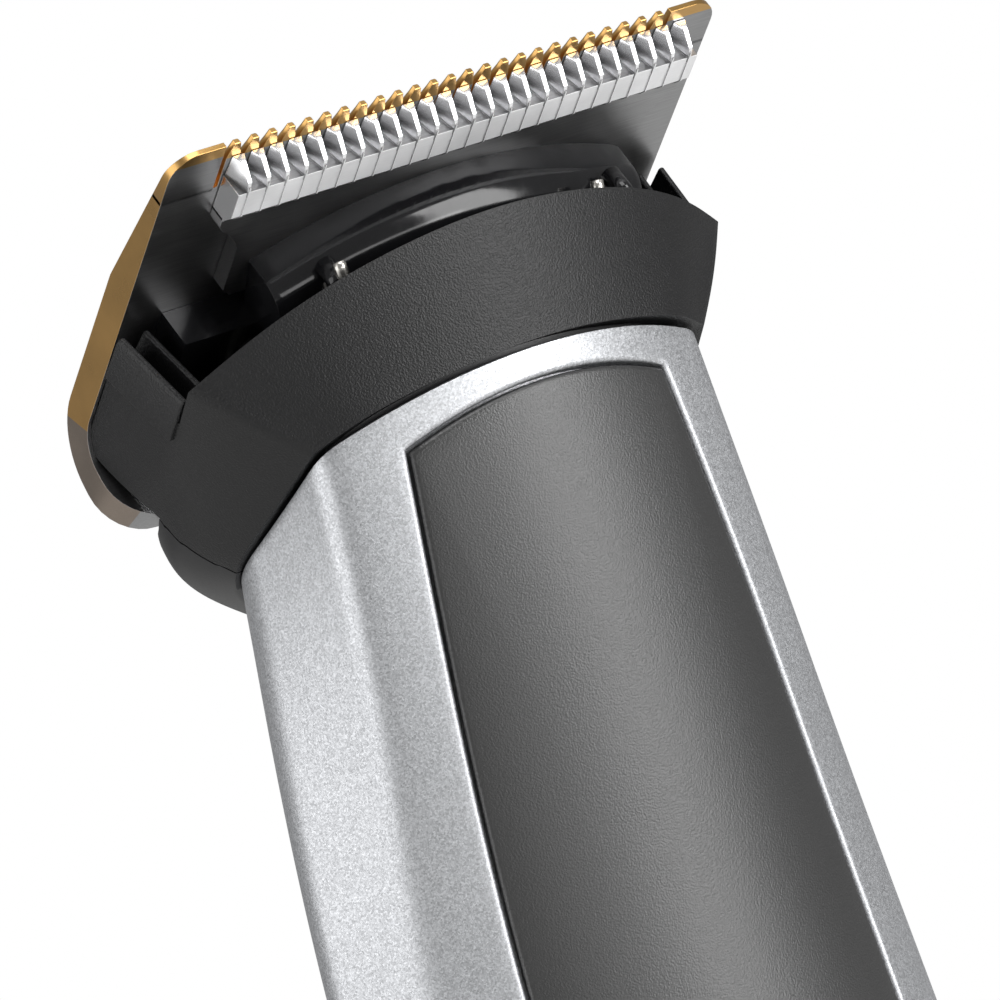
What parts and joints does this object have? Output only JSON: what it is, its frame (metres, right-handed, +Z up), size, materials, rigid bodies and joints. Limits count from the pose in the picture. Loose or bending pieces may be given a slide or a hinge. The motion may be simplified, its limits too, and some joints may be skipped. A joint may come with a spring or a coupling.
{
  "type": "beard trimmer",
  "caption": "Cordless beard trimmer with a wide toothed blade set, a snap-off head, a slide switch and a charging socket in its base.",
  "frame": {"origin": "middle of the flat base, on the motor's axis", "axes": "+Z up along the handle towards the blades, -Y towards the front with the grip panel and switch, +X to the right seen from behind"},
  "size_m": [0.0414, 0.0289, 0.1562],
  "materials": {
    "silver_paint": "metallic flake paint",
    "grip_black": "fine textured soft black",
    "trim_black": "fine spark texture",
    "cover_black": "satin",
    "bridge_black": "gloss",
    "gold_blade": "titanium-look coating",
    "cutter_steel": "bright ground",
    "spring_steel": "drawn wire",
    "motor_steel": "zinc plated",
    "inner_plastic": "natural moulded",
    "socket_black": "moulded",
    "cell_wrap": "heat-shrink sleeve",
    "board_green": "solder mask",
    "lamp_clear": "clear moulded"
  },
  "bodies": {
    "handle": {"front_shell": "silver_paint", "rear_shell": "silver_paint", "grip_panel": "grip_black", "rear_grip": "grip_black", "base_cap": "trim_black", "charging_socket": "socket_black", "charging_contacts": "spring_steel", "battery_cell": "cell_wrap", "battery_tab_lower": "spring_steel", "battery_tab_upper": "spring_steel", "circuit_board": "board_green", "switch_block": "socket_black", "charge_led": "lamp_clear", "charge_chip": "socket_black", "power_coil": "socket_black", "light_pipe": "lamp_clear", "cradle_lower": "inner_plastic", "cradle_upper": "inner_plastic", "motor_can": "motor_steel", "motor_end_bell": "inner_plastic", "motor_terminals": "spring_steel", "motor_mount": "inner_plastic", "motor_screws": "spring_steel", "shaft_seal": "socket_black", "neck_plate": "cover_black"},
    "switch": {"switch_button": "cover_black", "switch_carrier": "inner_plastic"},
    "spindle": {"motor_shaft": "spring_steel", "eccentric_cam": "inner_plastic"},
    "head": {"head_collar": "trim_black", "rear_cover": "cover_black", "fixed_blade": "gold_blade", "blade_frame": "bridge_black", "blade_screws": "spring_steel", "tension_spring": "spring_steel", "head_base": "cover_black", "latch_hooks": "spring_steel"},
    "cutter": {"moving_cutter": "cutter_steel", "cutter_carrier": "bridge_black", "drive_fork": "inner_plastic"}
  },
  "joints": [
    {"name": "head_release", "type": "slide", "parent": "handle", "child": "head", "axis": [0, 0, 1], "range_m": [0, 0.024]},
    {"name": "cutter_slide", "type": "slide", "parent": "head", "child": "cutter", "axis": [1, 0, 0], "range_m": [-0.002, 0]},
    {"name": "motor_spin", "type": "hinge", "parent": "handle", "child": "spindle", "pos_m": [0, 0, 0.13], "axis": [0, 0, 1], "continuous": true},
    {"name": "power_switch", "type": "slide", "parent": "handle", "child": "switch", "axis": [0, 0, 1], "range_m": [0, 0.005]}
  ]
}
